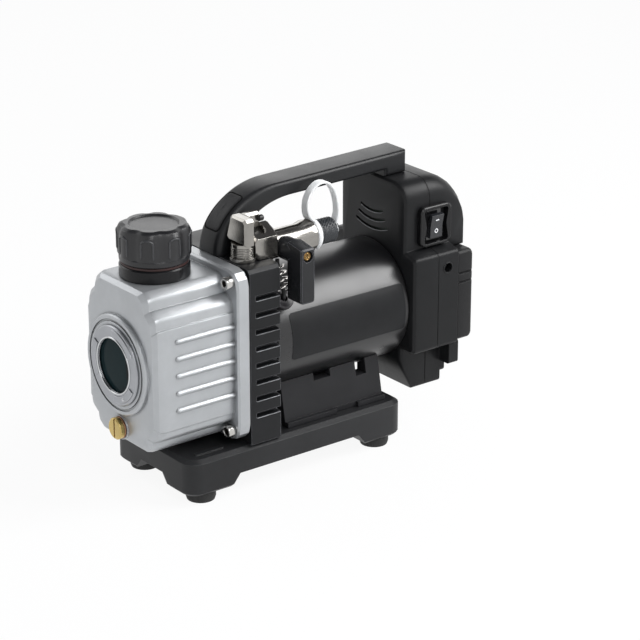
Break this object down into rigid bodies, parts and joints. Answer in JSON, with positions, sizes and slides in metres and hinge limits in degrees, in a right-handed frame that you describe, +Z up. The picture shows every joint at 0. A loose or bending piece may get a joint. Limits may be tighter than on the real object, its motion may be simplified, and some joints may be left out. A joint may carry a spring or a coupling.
{
  "type": "hvac vacuum pump",
  "caption": "Cordless rotary-vane vacuum pump for refrigeration service: finned oil case with sight glass and cap, round motor, inlet valve with lever, carry handle and slide-on battery",
  "frame": {"origin": "centre of the bounding box on the plane it stands on", "axes": "+X runs along the shaft from the oil case to the battery, +Y away from the valve side, +Z up"},
  "size_m": [0.3062, 0.1144, 0.2262],
  "materials": {
    "black_plastic": "moulded black plastic, fine satin grain",
    "gloss_black": "smooth black plastic",
    "motor_paint": "satin black paint on a steel can",
    "rubber": "matt black rubber",
    "cast_aluminium": "die-cast aluminium, satin",
    "chrome": "bright nickel plate",
    "steel": "plain steel",
    "dark_steel": "blackened steel",
    "brass": "turned brass",
    "copper": "copper",
    "white_strap": "soft white plastic",
    "red_seal": "dark red rubber",
    "gasket_paper": "compressed gasket sheet",
    "magnet": "sintered magnet",
    "glass": "clear sight glass",
    "board_green": "coated circuit board"
  },
  "bodies": {
    "pump": {"base_plate": "black_plastic", "motor_saddle": "black_plastic", "centre_plate": "black_plastic", "rubber_foot_front_left": "rubber", "rubber_foot_front_right": "rubber", "rubber_foot_rear_left": "rubber", "rubber_foot_rear_right": "rubber", "oil_case": "cast_aluminium", "case_gasket": "gasket_paper", "case_screw_lower_left": "steel", "case_screw_upper_left": "steel", "case_screw_lower_right": "steel", "case_screw_upper_right": "steel", "sight_glass": "glass", "sight_glass_ring": "cast_aluminium", "filler_collar": "gloss_black", "motor_case": "motor_paint", "magnet_ring": "magnet", "motor_end_cap": "cast_aluminium", "front_bearing": "steel", "rear_bearing": "steel", "pump_cylinder": "steel", "cylinder_cover": "steel", "carry_handle": "black_plastic", "rear_housing_front": "black_plastic", "rear_housing_rear": "black_plastic", "housing_screw_left": "dark_steel", "housing_screw_right": "dark_steel", "battery_terminals": "gloss_black", "control_board": "board_green", "switch_guard": "gloss_black", "switch_body": "gloss_black", "inlet_nipple": "chrome", "inlet_elbow": "chrome", "valve_body": "chrome", "tether_strap": "white_strap", "cable_grommet": "rubber", "sensor_lead": "rubber", "spring_guard": "steel"},
    "rotor": {"motor_shaft": "steel", "motor_armature": "copper", "cooling_fan": "black_plastic", "pump_rotor": "steel", "pump_vane_upper": "dark_steel", "pump_vane_lower": "dark_steel"},
    "cap_lift": {"oil_cap_seal": "red_seal"},
    "oil_cap": {"oil_cap": "black_plastic"},
    "drain_back": {"drain_washer": "copper"},
    "drain_plug": {"drain_plug": "brass"},
    "lever": {"valve_lever": "black_plastic", "lever_screw": "brass", "valve_stem": "steel"},
    "flare_cap": {"flare_cap": "gloss_black"},
    "rocker": {"switch_rocker": "gloss_black"},
    "battery": {"battery_pack": "black_plastic"},
    "release": {"battery_release": "gloss_black"}
  },
  "joints": [
    {"name": "shaft_spin", "type": "hinge", "parent": "pump", "child": "rotor", "pos_m": [-0.01815, 0.0047, 0.1073], "axis": [1, 0, 0], "continuous": true},
    {"name": "cap_lift", "type": "slide", "parent": "pump", "child": "cap_lift", "axis": [0, 0, 1], "range_m": [0, 0.0076]},
    {"name": "cap_turn", "type": "hinge", "parent": "cap_lift", "child": "oil_cap", "pos_m": [-0.11315, 0.0047, 0.1814], "axis": [0, 0, 1], "range_deg": [0, 900]},
    {"name": "drain_back", "type": "slide", "parent": "pump", "child": "drain_back", "axis": [-1, 0, 0], "range_m": [0, 0.0046]},
    {"name": "drain_turn", "type": "hinge", "parent": "drain_back", "child": "drain_plug", "pos_m": [-0.14665, 0.0047, 0.0568], "axis": [-1, 0, 0], "range_deg": [0, 1080]},
    {"name": "lever_turn", "type": "hinge", "parent": "pump", "child": "lever", "pos_m": [-0.01815, -0.0572, 0.1807], "axis": [0, -1, 0], "range_deg": [0, 90]},
    {"name": "flare_cap_turn", "type": "hinge", "parent": "pump", "child": "flare_cap", "pos_m": [0.01935, -0.0173, 0.1807], "axis": [1, 0, 0], "continuous": true},
    {"name": "switch_rock", "type": "hinge", "parent": "pump", "child": "rocker", "pos_m": [0.12035, -0.0365, 0.1717], "axis": [-1, 0, 0], "range_deg": [0, 14]},
    {"name": "battery_slide", "type": "slide", "parent": "pump", "child": "battery", "axis": [0, 1, 0], "range_m": [0, 0.08]},
    {"name": "release_press", "type": "slide", "parent": "battery", "child": "release", "axis": [-1, 0, 0], "range_m": [0, 0.003], "stiffness_N_per_m": 300}
  ],
  "couplings": [
    {"joint": "cap_lift", "follows": "cap_turn", "m_per_rad": 0.00047746},
    {"joint": "drain_back", "follows": "drain_turn", "m_per_rad": 0.00023873}
  ]
}
